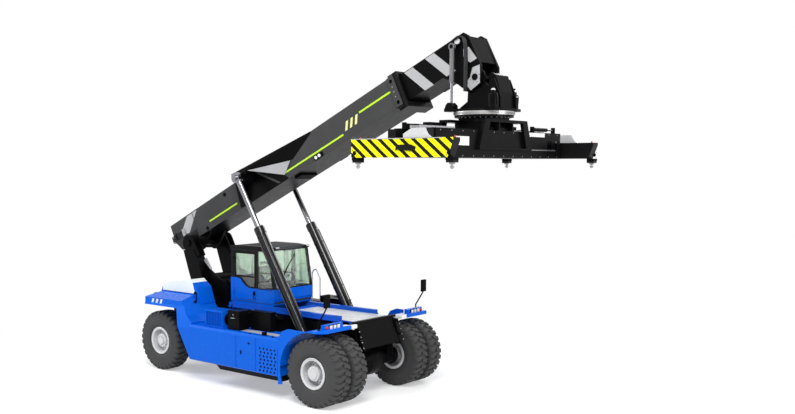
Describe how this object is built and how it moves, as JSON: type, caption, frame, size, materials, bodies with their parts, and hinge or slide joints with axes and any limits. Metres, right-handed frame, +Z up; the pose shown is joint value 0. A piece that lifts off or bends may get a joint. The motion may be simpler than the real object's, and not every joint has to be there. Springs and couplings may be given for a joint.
{
  "type": "reach stacker",
  "caption": "Container handler: blue four-wheeled chassis with twin drive wheels, sliding cab, telescopic lifting boom and a slewing spreader with twistlocks.",
  "frame": {"origin": "centre of the whole machine on the ground under it", "axes": "+X forward towards the spreader, +Y to the left, +Z up; the boom turns in the XZ plane"},
  "size_m": [11.2188, 6.133, 8.3733],
  "materials": {
    "black": "satin",
    "blue": "gloss",
    "chrome": "polished",
    "glass": "clear",
    "grey": "satin",
    "rubber": "matte",
    "seat": "matte",
    "silver": "satin",
    "steel": "satin",
    "yellow": "gloss"
  },
  "bodies": {
    "chassis": {"chassis_frame": "black", "boom_towers": "black", "counterweight": "black", "rear_hood": "blue", "engine_block": "grey", "side_tanks": "blue", "front_fenders": "blue", "deck": "blue", "drive_axle": "black", "steer_axle": "black", "condenser": "blue", "equipment_boxes": "black", "handrails": "silver", "mirrors": "black"},
    "cab": {"cab_base": "blue", "cab_shell": "black", "cab_glass": "glass", "driver_seat": "seat"},
    "right_cab_door": {"right_door": "blue", "right_door_glass": "glass"},
    "left_cab_door": {"left_door": "blue", "left_door_glass": "glass"},
    "boom": {"outer_boom": "grey", "boom_saddle": "black"},
    "telescope": {"inner_boom": "black"},
    "left_lift_barrel": {"lift_barrel_left": "black"},
    "right_lift_barrel": {"lift_barrel_right": "black"},
    "left_lift_rod": {"lift_rod_left": "chrome"},
    "right_lift_rod": {"lift_rod_right": "chrome"},
    "dampers": {"damper_barrels": "steel"},
    "damper_pistons": {"damper_rods": "chrome"},
    "rotator": {"rotator_yoke": "black"},
    "carriage": {"slew_ring": "silver", "shift_carriage": "black"},
    "spreader": {"spreader_frame": "black"},
    "left_end": {"left_end_beam": "yellow"},
    "right_end": {"right_end_beam": "yellow"},
    "lock_front_left": {"twistlock_front_left": "steel"},
    "lock_front_right": {"twistlock_front_right": "steel"},
    "lock_rear_left": {"twistlock_rear_left": "steel"},
    "lock_rear_right": {"twistlock_rear_right": "steel"},
    "left_drive_wheels": {"front_tyres_left": "rubber", "front_rims_left": "silver"},
    "right_drive_wheels": {"front_tyres_right": "rubber", "front_rims_right": "silver"},
    "left_knuckle": {"steer_knuckle_left": "steel"},
    "right_knuckle": {"steer_knuckle_right": "steel"},
    "left_steered_wheel": {"rear_tyre_left": "rubber", "rear_rim_left": "silver"},
    "right_steered_wheel": {"rear_tyre_right": "rubber", "rear_rim_right": "silver"}
  },
  "joints": [
    {"name": "left_drive_spin", "type": "hinge", "parent": "chassis", "child": "left_drive_wheels", "pos_m": [1.18995, 1.205, 0.8075], "axis": [0, 1, 0], "continuous": true},
    {"name": "right_drive_spin", "type": "hinge", "parent": "chassis", "child": "right_drive_wheels", "pos_m": [1.18995, -1.205, 0.8075], "axis": [0, 1, 0], "continuous": true},
    {"name": "steer_left", "type": "hinge", "parent": "chassis", "child": "left_knuckle", "pos_m": [-4.76005, 0.985, 0.8075], "axis": [0, 0, 1], "range_deg": [-50, 50]},
    {"name": "steer_right", "type": "hinge", "parent": "chassis", "child": "right_knuckle", "pos_m": [-4.76005, -0.985, 0.8075], "axis": [0, 0, 1], "range_deg": [-50, 50]},
    {"name": "left_steered_spin", "type": "hinge", "parent": "left_knuckle", "child": "left_steered_wheel", "pos_m": [-4.76005, 1.37, 0.8075], "axis": [0, 1, 0], "continuous": true},
    {"name": "right_steered_spin", "type": "hinge", "parent": "right_knuckle", "child": "right_steered_wheel", "pos_m": [-4.76005, -1.37, 0.8075], "axis": [0, 1, 0], "continuous": true},
    {"name": "cab_slide", "type": "slide", "parent": "chassis", "child": "cab", "axis": [1, 0, 0], "range_m": [0, 1]},
    {"name": "right_door_swing", "type": "hinge", "parent": "cab", "child": "right_cab_door", "pos_m": [-2.75305, -0.734, 2.9], "axis": [0, 0, -1], "range_deg": [0, 90]},
    {"name": "left_door_swing", "type": "hinge", "parent": "cab", "child": "left_cab_door", "pos_m": [-2.75305, 0.734, 2.9], "axis": [0, 0, 1], "range_deg": [0, 90]},
    {"name": "boom_lift", "type": "hinge", "parent": "chassis", "child": "boom", "pos_m": [-4.53005, 0, 3.42], "axis": [0, -1, 0], "range_deg": [-24, 34.5]},
    {"name": "boom_extend", "type": "slide", "parent": "boom", "child": "telescope", "axis": [0.9026, 0, 0.4305], "range_m": [0, 6.5]},
    {"name": "left_cylinder_lean", "type": "hinge", "parent": "chassis", "child": "left_lift_barrel", "pos_m": [0.06995, 0.97, 1.3], "axis": [0, -1, 0], "range_deg": [-8, 8]},
    {"name": "right_cylinder_lean", "type": "hinge", "parent": "chassis", "child": "right_lift_barrel", "pos_m": [0.06995, -0.97, 1.3], "axis": [0, -1, 0], "range_deg": [-8, 8]},
    {"name": "left_cylinder_stroke", "type": "slide", "parent": "left_lift_barrel", "child": "left_lift_rod", "axis": [-0.5168, 0, 0.8561], "range_m": [-1.16, 1.66]},
    {"name": "right_cylinder_stroke", "type": "slide", "parent": "right_lift_barrel", "child": "right_lift_rod", "axis": [-0.5168, 0, 0.8561], "range_m": [-1.16, 1.66]},
    {"name": "head_swing", "type": "hinge", "parent": "telescope", "child": "rotator", "pos_m": [4.38995, 0, 7.42], "axis": [0, -1, 0], "range_deg": [-34.5, 24]},
    {"name": "damper_lean", "type": "hinge", "parent": "telescope", "child": "dampers", "pos_m": [3.87495, 0, 8.08], "axis": [0, -1, 0], "range_deg": [-18, 18]},
    {"name": "damper_stroke", "type": "slide", "parent": "dampers", "child": "damper_pistons", "axis": [0, 0, -1], "range_m": [-0.345, 0.24]},
    {"name": "spreader_slew", "type": "hinge", "parent": "rotator", "child": "carriage", "pos_m": [4.38995, 0, 6.62], "axis": [0, 0, 1], "range_deg": [-105, 195]},
    {"name": "side_shift", "type": "slide", "parent": "carriage", "child": "spreader", "axis": [0, -1, 0], "range_m": [-0.8, 0.8]},
    {"name": "left_extend", "type": "slide", "parent": "spreader", "child": "left_end", "axis": [0, 1, 0], "range_m": [0, 3.048]},
    {"name": "right_extend", "type": "slide", "parent": "spreader", "child": "right_end", "axis": [0, -1, 0], "range_m": [0, 3.048]},
    {"name": "lock_turn_front_left", "type": "hinge", "parent": "left_end", "child": "lock_front_left", "pos_m": [5.51945, 2.9265, 5.6], "axis": [0, 0, 1], "range_deg": [0, 90]},
    {"name": "lock_turn_rear_left", "type": "hinge", "parent": "left_end", "child": "lock_rear_left", "pos_m": [3.26045, 2.9265, 5.6], "axis": [0, 0, 1], "range_deg": [0, 90]},
    {"name": "lock_turn_front_right", "type": "hinge", "parent": "right_end", "child": "lock_front_right", "pos_m": [5.51945, -2.9265, 5.6], "axis": [0, 0, 1], "range_deg": [0, 90]},
    {"name": "lock_turn_rear_right", "type": "hinge", "parent": "right_end", "child": "lock_rear_right", "pos_m": [3.26045, -2.9265, 5.6], "axis": [0, 0, 1], "range_deg": [0, 90]}
  ],
  "couplings": [
    {"joint": "steer_right", "follows": "steer_left", "ratio": 1},
    {"joint": "left_cylinder_lean", "follows": "boom_lift", "ratio": 0.1256},
    {"joint": "left_cylinder_stroke", "follows": "boom_lift", "m_per_rad": 2.734},
    {"joint": "right_cylinder_lean", "follows": "boom_lift", "ratio": 0.1256},
    {"joint": "right_cylinder_stroke", "follows": "boom_lift", "m_per_rad": 2.734},
    {"joint": "head_swing", "follows": "boom_lift", "ratio": -1},
    {"joint": "damper_lean", "follows": "boom_lift", "ratio": -0.4622},
    {"joint": "damper_stroke", "follows": "boom_lift", "m_per_rad": -0.5505},
    {"joint": "right_extend", "follows": "left_extend", "ratio": 1},
    {"joint": "lock_turn_rear_left", "follows": "lock_turn_front_left", "ratio": 1},
    {"joint": "lock_turn_front_right", "follows": "lock_turn_front_left", "ratio": 1},
    {"joint": "lock_turn_rear_right", "follows": "lock_turn_front_left", "ratio": 1}
  ]
}
